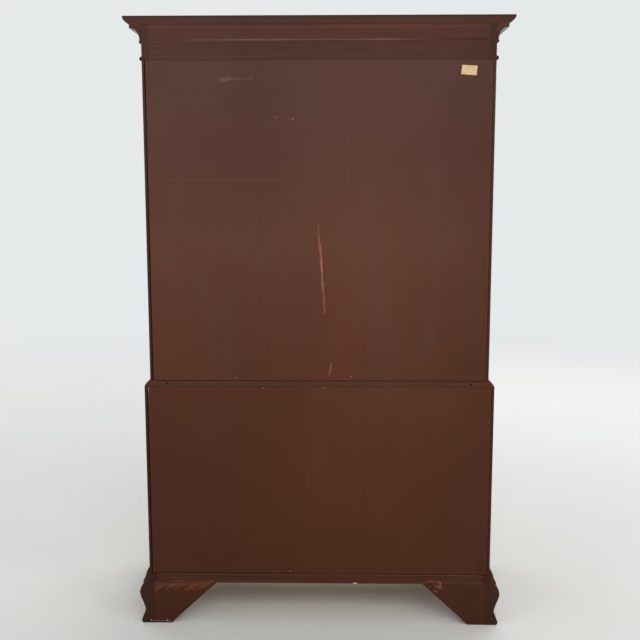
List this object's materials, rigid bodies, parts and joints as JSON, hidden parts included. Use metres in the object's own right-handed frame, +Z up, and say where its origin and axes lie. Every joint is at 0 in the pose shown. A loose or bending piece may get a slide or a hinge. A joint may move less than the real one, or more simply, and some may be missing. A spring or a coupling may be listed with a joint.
{
  "type": "highboy",
  "caption": "Chest-on-chest highboy with a coved cornice, small and long drawers with brass bail pulls, and ogee bracket feet.",
  "frame": {"origin": "on the floor, in the middle of the width and of the overall depth", "axes": "+Z up, the drawers open towards -Y, the back is at +Y, +X is to the right of someone who faces the drawers"},
  "size_m": [1.087, 0.498, 1.778],
  "materials": {
    "mahogany": "satin lacquer over red-brown stain",
    "stained_back": "dull brushed stain",
    "drawer_wood": "bare planed wood",
    "dust_wood": "bare planed wood",
    "brass": "aged polish"
  },
  "bodies": {
    "carcass": {"upper_side_left": "mahogany", "upper_side_right": "mahogany", "lower_side_left": "mahogany", "lower_side_right": "mahogany", "upper_bottom_board": "dust_wood", "lower_bottom_board": "dust_wood", "upper_dust_frame_1": "dust_wood", "upper_dust_frame_2": "dust_wood", "upper_dust_frame_3": "dust_wood", "lower_dust_frame": "dust_wood", "small_drawer_divider": "mahogany", "upper_back_panel": "stained_back", "lower_back_panel": "stained_back", "frieze_rail_back": "stained_back", "base_rail_back": "stained_back", "frieze_rail_front": "mahogany", "cornice_moulding": "mahogany", "cap_board": "mahogany", "waist_board": "mahogany", "base_moulding": "mahogany", "foot_front_left": "mahogany", "foot_front_right": "mahogany", "foot_rear_left": "mahogany", "foot_rear_right": "mahogany"},
    "small_drawer_left": {"small_drawer_left_front": "mahogany", "small_drawer_left_box": "drawer_wood", "small_drawer_left_knob": "brass"},
    "small_drawer_right": {"small_drawer_right_front": "mahogany", "small_drawer_right_box": "drawer_wood", "small_drawer_right_knob": "brass"},
    "upper_drawer_1": {"upper_drawer_1_front": "mahogany", "upper_drawer_1_box": "drawer_wood", "upper_drawer_1_plate_left": "brass", "upper_drawer_1_plate_right": "brass"},
    "upper_drawer_2": {"upper_drawer_2_front": "mahogany", "upper_drawer_2_box": "drawer_wood", "upper_drawer_2_plate_left": "brass", "upper_drawer_2_plate_right": "brass"},
    "upper_drawer_3": {"upper_drawer_3_front": "mahogany", "upper_drawer_3_box": "drawer_wood", "upper_drawer_3_plate_left": "brass", "upper_drawer_3_plate_right": "brass"},
    "lower_drawer_1": {"lower_drawer_1_front": "mahogany", "lower_drawer_1_box": "drawer_wood", "lower_drawer_1_plate_left": "brass", "lower_drawer_1_plate_right": "brass"},
    "lower_drawer_2": {"lower_drawer_2_front": "mahogany", "lower_drawer_2_box": "drawer_wood", "lower_drawer_2_plate_left": "brass", "lower_drawer_2_plate_right": "brass"},
    "upper_drawer_1_bail_l": {"upper_drawer_1_bail_left": "brass"},
    "upper_drawer_1_bail_r": {"upper_drawer_1_bail_right": "brass"},
    "upper_drawer_2_bail_l": {"upper_drawer_2_bail_left": "brass"},
    "upper_drawer_2_bail_r": {"upper_drawer_2_bail_right": "brass"},
    "upper_drawer_3_bail_l": {"upper_drawer_3_bail_left": "brass"},
    "upper_drawer_3_bail_r": {"upper_drawer_3_bail_right": "brass"},
    "lower_drawer_1_bail_l": {"lower_drawer_1_bail_left": "brass"},
    "lower_drawer_1_bail_r": {"lower_drawer_1_bail_right": "brass"},
    "lower_drawer_2_bail_l": {"lower_drawer_2_bail_left": "brass"},
    "lower_drawer_2_bail_r": {"lower_drawer_2_bail_right": "brass"}
  },
  "joints": [
    {"name": "small_drawer_left_slide", "type": "slide", "parent": "carcass", "child": "small_drawer_left", "axis": [0, -1, 0], "range_m": [0, 0.36]},
    {"name": "small_drawer_right_slide", "type": "slide", "parent": "carcass", "child": "small_drawer_right", "axis": [0, -1, 0], "range_m": [0, 0.36]},
    {"name": "upper_drawer_1_slide", "type": "slide", "parent": "carcass", "child": "upper_drawer_1", "axis": [0, -1, 0], "range_m": [0, 0.36]},
    {"name": "upper_drawer_2_slide", "type": "slide", "parent": "carcass", "child": "upper_drawer_2", "axis": [0, -1, 0], "range_m": [0, 0.36]},
    {"name": "upper_drawer_3_slide", "type": "slide", "parent": "carcass", "child": "upper_drawer_3", "axis": [0, -1, 0], "range_m": [0, 0.36]},
    {"name": "lower_drawer_1_slide", "type": "slide", "parent": "carcass", "child": "lower_drawer_1", "axis": [0, -1, 0], "range_m": [0, 0.36]},
    {"name": "lower_drawer_2_slide", "type": "slide", "parent": "carcass", "child": "lower_drawer_2", "axis": [0, -1, 0], "range_m": [0, 0.36]},
    {"name": "upper_drawer_1_bail_left_hinge", "type": "hinge", "parent": "upper_drawer_1", "child": "upper_drawer_1_bail_l", "pos_m": [-0.28565, -0.2151, 1.3872], "axis": [-1, 0, 0], "range_deg": [-16, 85]},
    {"name": "upper_drawer_1_bail_right_hinge", "type": "hinge", "parent": "upper_drawer_1", "child": "upper_drawer_1_bail_r", "pos_m": [0.28565, -0.2151, 1.3872], "axis": [-1, 0, 0], "range_deg": [-16, 85]},
    {"name": "upper_drawer_2_bail_left_hinge", "type": "hinge", "parent": "upper_drawer_2", "child": "upper_drawer_2_bail_l", "pos_m": [-0.28565, -0.2151, 1.1553], "axis": [-1, 0, 0], "range_deg": [-16, 85]},
    {"name": "upper_drawer_2_bail_right_hinge", "type": "hinge", "parent": "upper_drawer_2", "child": "upper_drawer_2_bail_r", "pos_m": [0.28565, -0.2151, 1.1553], "axis": [-1, 0, 0], "range_deg": [-16, 85]},
    {"name": "upper_drawer_3_bail_left_hinge", "type": "hinge", "parent": "upper_drawer_3", "child": "upper_drawer_3_bail_l", "pos_m": [-0.28565, -0.2151, 0.89823], "axis": [-1, 0, 0], "range_deg": [-16, 85]},
    {"name": "upper_drawer_3_bail_right_hinge", "type": "hinge", "parent": "upper_drawer_3", "child": "upper_drawer_3_bail_r", "pos_m": [0.28565, -0.2151, 0.89823], "axis": [-1, 0, 0], "range_deg": [-16, 85]},
    {"name": "lower_drawer_1_bail_left_hinge", "type": "hinge", "parent": "lower_drawer_1", "child": "lower_drawer_1_bail_l", "pos_m": [-0.28565, -0.2326, 0.60702], "axis": [-1, 0, 0], "range_deg": [-16, 85]},
    {"name": "lower_drawer_1_bail_right_hinge", "type": "hinge", "parent": "lower_drawer_1", "child": "lower_drawer_1_bail_r", "pos_m": [0.28565, -0.2326, 0.60702], "axis": [-1, 0, 0], "range_deg": [-16, 85]},
    {"name": "lower_drawer_2_bail_left_hinge", "type": "hinge", "parent": "lower_drawer_2", "child": "lower_drawer_2_bail_l", "pos_m": [-0.28565, -0.2326, 0.31907], "axis": [-1, 0, 0], "range_deg": [-16, 85]},
    {"name": "lower_drawer_2_bail_right_hinge", "type": "hinge", "parent": "lower_drawer_2", "child": "lower_drawer_2_bail_r", "pos_m": [0.28565, -0.2326, 0.31907], "axis": [-1, 0, 0], "range_deg": [-16, 85]}
  ]
}
